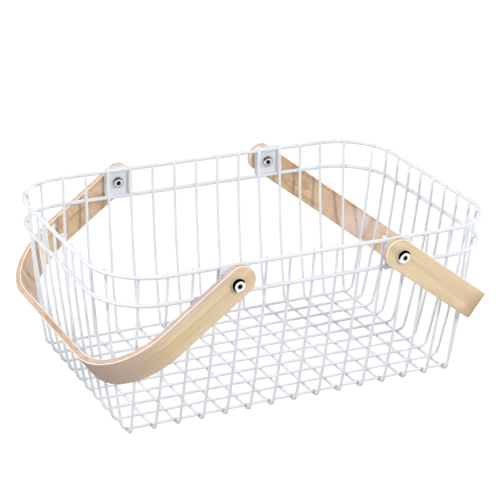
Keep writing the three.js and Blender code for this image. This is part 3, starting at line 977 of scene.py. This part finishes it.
class BentStrip:
    """A developed strip (along, across, depth) and the U that it bends into."""

    ARM = HANDLE_REACH - HANDLE_CORNER
    MID_CORNER = HANDLE_CORNER - HANDLE_THICKNESS / 2
    ARC = MID_CORNER * math.pi / 2
    GRIP = 2 * (HANDLE_OUTER_HALF_WIDTH - HANDLE_CORNER)
    LENGTH = 2 * ARM + 2 * ARC + GRIP

    def __init__(self, end_sign):
        angle = HANDLE_REST_ANGLE if end_sign > 0 else math.pi - HANDLE_REST_ANGLE
        self.turn = Matrix.Rotation(angle, 4, "Y")
        self.origin = Vector((end_sign * PIVOT_X, 0, PIVOT_HEIGHT))

    def in_plane(self, along, depth):
        """Where a point of the strip lies in the handle's own plane; depth 0 is the inner face."""
        if along > self.LENGTH / 2:
            x, y = self.in_plane(self.LENGTH - along, depth)
            return x, -y
        out = depth - HANDLE_THICKNESS / 2
        if along <= self.ARM:
            return along, -(HANDLE_OUTER_HALF_WIDTH - HANDLE_THICKNESS / 2 + out)
        turned_by = (along - self.ARM) / self.MID_CORNER
        if turned_by <= math.pi / 2:
            radius = self.MID_CORNER + out
            centre_y = -(HANDLE_OUTER_HALF_WIDTH - HANDLE_CORNER)
            return self.ARM + radius * math.sin(turned_by), centre_y - radius * math.cos(turned_by)
        beyond = along - self.ARM - self.ARC
        return HANDLE_REACH - HANDLE_THICKNESS / 2 + out, -(self.GRIP / 2 - beyond)

    def bend(self, along, across, depth):
        x, y = self.in_plane(along, depth)
        return self.origin + self.turn @ Vector((x, y, across))


def even_steps(start, finish, step):
    """Stations from start to finish, about a step apart."""
    count = max(1, round((finish - start) / step))
    return [start + (finish - start) * i / count for i in range(count + 1)]


def strip_outline(half):
    """The square-sided, round-ended ring about a pivot hole, as (along, across) points."""
    along_steps = 7
    round_steps = 24
    end = -HANDLE_END_OVERHANG
    ring = [(half, -half + 2 * half * i / ACROSS_STEPS) for i in range(ACROSS_STEPS)]
    ring += [(half + (end - half) * i / along_steps, half) for i in range(along_steps)]
    for i in range(round_steps):
        angle = math.pi * i / round_steps
        ring.append((end - half * math.sin(angle), half * math.cos(angle)))
    ring += [(end + (half - end) * i / along_steps, -half) for i in range(along_steps)]
    return ring


def beside_hole(spot, length):
    """Whether a point of the blank lies at a pivot hole's edge, which stays sharp."""
    reach = HOLE_RADIUS + MM
    return abs(min(spot.x, length - spot.x)) <= reach and abs(spot.y) <= reach


def developed_strip():
    """The handle's flat blank: neat quads about each pivot hole, and bands along the strip."""
    bm = bmesh.new()
    half = HANDLE_WIDTH / 2
    length = BentStrip.LENGTH
    outline = strip_outline(half)
    ring_shares = [0, 0.12, 0.35, 0.65, 1]
    for end in (0, 1):
        rings = []
        for share in ring_shares:
            ring = []
            for x, y in outline:
                angle = math.atan2(y, x)
                hole = Vector((HOLE_RADIUS * math.cos(angle), HOLE_RADIUS * math.sin(angle)))
                spot = hole.lerp(Vector((x, y)), share)
                along = spot.x if end == 0 else length - spot.x
                ring.append(bm.verts.new((along, spot.y, 0)))
            rings.append(ring)
        for inner, outer in zip(rings, rings[1:]):
            for k in range(len(outline)):
                m = (k + 1) % len(outline)
                bm.faces.new((inner[k], outer[k], outer[m], inner[m]))
    stations = even_steps(half, BentStrip.ARM, 6 * MM)[:-1]
    stations += even_steps(BentStrip.ARM, BentStrip.ARM + BentStrip.ARC, 2.2 * MM)[:-1]
    stations += even_steps(BentStrip.ARM + BentStrip.ARC, length / 2, 7 * MM)[:-1]
    stations = stations + [length / 2] + [length - s for s in reversed(stations)]
    columns = []
    for along in stations:
        places = [-half + 2 * half * i / ACROSS_STEPS for i in range(ACROSS_STEPS + 1)]
        columns.append([bm.verts.new((along, place, 0)) for place in places])
    for left, right in zip(columns, columns[1:]):
        for i in range(ACROSS_STEPS):
            bm.faces.new((left[i], right[i], right[i + 1], left[i + 1]))
    bmesh.ops.remove_doubles(bm, verts=bm.verts, dist=0.01 * MM)
    thicken(bm, 2, HANDLE_THICKNESS)
    bmesh.ops.recalc_face_normals(bm, faces=bm.faces)
    rim = [e for e in sharp_edges(bm, 60) if not any(beside_hole(v.co, length) for v in e.verts)]
    round_off(bm, rim, HANDLE_EDGE_ROUND, 4)
    return bm


def bentwood_handle(name, end_sign, grain_start):
    """One handle, bent from its blank. The blank's own coordinates stay on it as its grain."""
    strip = BentStrip(end_sign)
    mesh = mesh_of(developed_strip(), "bentwood_" + name)
    grain = mesh.attributes.new("grain", "FLOAT_VECTOR", "POINT")
    for vertex, row in zip(mesh.vertices, grain.data):
        along, across, depth = vertex.co
        row.vector = (along + grain_start, across, depth)
        vertex.co = strip.bend(along, across, depth)
    handle = finish_piece(mesh.name, mesh, "bentwood", body=name, replaces=[name], smooth_angle=35)
    handle.visible_diffuse = False    # keeps the wood's colour off the white wires


# ---- The basket ----

def build_basket():
    cross = wire_layer("cross", CROSS_WIRE_COUNT, CROSS_WIRE_PITCH, CROSS_WIRE_PITCH, CORNER_CROSS_WIRE_TOP,
                       SIDE_WALL, END_WALL, CROSS_WIRE_HEIGHT, swap=True)
    long = wire_layer("long", LONG_WIRE_COUNT, LONG_WIRE_PITCH, LONG_WIRE_TOP_PITCH, CORNER_LONG_WIRE_TOP,
                      END_WALL, SIDE_WALL, LONG_WIRE_HEIGHT, swap=False)
    for wire in cross + long:
        wire.build()
    top_rim = Rim("top_rim", TOP_RIM_HEIGHT, TOP_RIM_CORNER)
    second_rim = Rim("second_rim", SECOND_RIM_HEIGHT, SECOND_RIM_CORNER)
    floor_welds(cross, long)
    for rim in (top_rim, second_rim):
        rim.build()
        rim_welds(rim, cross + long)
    plate_inner = top_rim.outer_face + PLATE_GAP
    plate_outer = plate_inner + PLATE_THICKNESS
    rim_set_in = top_rim.outer_face - second_rim.outer_face
    for end_name in ("left", "right"):
        for side_name in ("front", "back"):
            station = Station(side_name, end_name)
            bracket_plate(station, plate_inner, rim_set_in)
            plate_welds(station, [(top_rim, (-1,)), (second_rim, (1, -1))])
            sleeve_nut(station, plate_inner, plate_outer)
            spacer_washer(station, plate_outer)
            socket_screw(station, plate_outer)
    bentwood_handle("left_handle", -1, 0.0)
    bentwood_handle("right_handle", 1, RIGHT_GRAIN)


# ---- Studio ----

# The photo's camera, as solved from where the wires of the floor and walls cross
CAMERA_AZIMUTH = math.radians(-27.144)
CAMERA_ELEVATION = math.radians(22.672)
CAMERA_ROLL = math.radians(1.86)
CAMERA_DISTANCE = 1.7985
CAMERA_AIM = Vector((0.0078, 0.0155, 0.1131))
CAMERA_LENS = 127.06
CAMERA_SENSOR = 36
SOFTBOX_AIM = Vector((0, 0, 0.08))
SOFTBOX_DISTANCE = 2.2
FLOOR_REACH = 3
BACKDROP_HEIGHT = 6
SWEEP_SIDES = 32
CARD_HEIGHT = 0.2 * MM
# What chrome sees of the floor: cards that only reflections show, as left, front, right, back, and a glow
MIRRORED_CARDS = [
    ("front_card", (-0.08, -1.60, 1.20, -0.18), 1.0),
    ("back_card", (-1.20, 0.18, 0.08, 1.60), 1.0),
    # The dimmer card paints the floor's shade under the basket, as the chrome reflects it
    ("shade_card", (-0.20, -0.178, 0.20, 0.178), 0.22),
]
ROOM_LIGHT_FROM_ABOVE = 0.62
ROOM_LIGHT_FROM_BELOW = 0.47


def direction(azimuth, elevation):
    """From the basket towards an azimuth and elevation; azimuth 0 is the front, 90 the right."""
    flat = math.cos(elevation)
    return Vector((math.sin(azimuth) * flat, -math.cos(azimuth) * flat, math.sin(elevation)))


def add_camera():
    back = direction(CAMERA_AZIMUTH, CAMERA_ELEVATION)
    level = Vector((math.cos(CAMERA_AZIMUTH), math.sin(CAMERA_AZIMUTH), 0))
    right = Matrix.Rotation(CAMERA_ROLL, 3, back) @ level
    up = back.cross(right)
    data = bpy.data.cameras.new("camera")
    data.sensor_width = CAMERA_SENSOR
    data.lens = CAMERA_LENS
    data.clip_end = 50
    camera = add_object("camera", data)
    pose = Matrix((right, up, back)).transposed().to_4x4()
    pose.translation = CAMERA_AIM + back * CAMERA_DISTANCE
    camera.matrix_world = pose
    bpy.context.scene.camera = camera


def add_softbox(name, azimuth, elevation, width, share):
    """A square softbox aimed at the basket. Its share is how bright it lights a card that faces it."""
    data = bpy.data.lights.new(name, "AREA")
    data.shape = "SQUARE"
    data.size = width
    data.energy = share * math.pi ** 2 * SOFTBOX_DISTANCE ** 2
    light = add_object(name, data)
    way = direction(math.radians(azimuth), math.radians(elevation))
    light.location = SOFTBOX_AIM + way * SOFTBOX_DISTANCE
    light.rotation_mode = "QUATERNION"
    light.rotation_quaternion = (-way).to_track_quat("-Z", "Y")
    light.visible_camera = False
    light.visible_glossy = False


def stage_piece(name, vertices, faces, glow=1.0):
    """A flat part of the studio, which glows but throws no light on the basket and takes no shadow."""
    mesh = bpy.data.meshes.new(name)
    mesh.from_pydata(vertices, [], faces)
    s = Shading(name, Base_Color=(0.03, 0.03, 0.03), Roughness=0.9,
                Emission_Color=(1, 1, 1), Emission_Strength=glow)
    mesh.materials.append(s.material)
    piece = add_object(name, mesh)
    piece.visible_diffuse = False    # the room's light stands for what the sweep throws back
    piece.visible_shadow = False
    return piece


def add_sweep():
    """A white floor and wall that only the camera sees, and cards on the floor that only chrome sees."""
    ring = circle(FLOOR_REACH, SWEEP_SIDES)
    floor = stage_piece("floor", [(x, y, 0) for x, y in ring], [tuple(range(SWEEP_SIDES))])
    floor.visible_glossy = False
    wall = [(x, y, 0) for x, y in ring] + [(x, y, BACKDROP_HEIGHT) for x, y in ring]
    faces = []
    for k in range(SWEEP_SIDES):
        following = (k + 1) % SWEEP_SIDES
        faces.append((k, k + SWEEP_SIDES, following + SWEEP_SIDES, following))
    backdrop = stage_piece("backdrop", wall, faces)
    backdrop.visible_glossy = False
    for name, (left, front, right, back), glow in MIRRORED_CARDS:
        corners = [(left, front), (right, front), (right, back), (left, back)]
        vertices = [(x, y, CARD_HEIGHT) for x, y in corners]
        stage_piece(name, vertices, [(0, 1, 2, 3)], glow).visible_camera = False


def add_room():
    """Soft light from all round, more from above than from below, that no reflection shows."""
    world = bpy.data.worlds.new("room")
    bpy.context.scene.world = world
    world.use_nodes = True
    world.cycles_visibility.glossy = False
    room = Nodes(world.node_tree)
    background = room.tree.nodes["Background"]
    way = room.node("ShaderNodeTexCoord").outputs["Generated"]
    up = room.node("ShaderNodeSeparateXYZ", {0: way}).outputs["Z"]
    strength = room.ranged(up, -0.25, 0.15, ROOM_LIGHT_FROM_BELOW, ROOM_LIGHT_FROM_ABOVE, smooth=True)
    room.feed(background.inputs["Strength"], strength)
    room.feed(background.inputs["Color"], (0.97, 0.985, 1.0))


def build_studio():
    add_sweep()
    add_room()
    add_softbox("key", 9, 30, 0.36, 0.51)
    add_softbox("left", -90, 14, 1.8, 0.67)
    add_softbox("right", 90, 8, 1.8, 0.79)
    add_softbox("back", 180, 50, 1.8, 0.42)
    add_softbox("rim", -112, 44, 1.0, 0.08)
    add_camera()
    view = bpy.context.scene.view_settings
    view.view_transform = "Standard"
    view.look = "None"


build_basket()
build_studio()
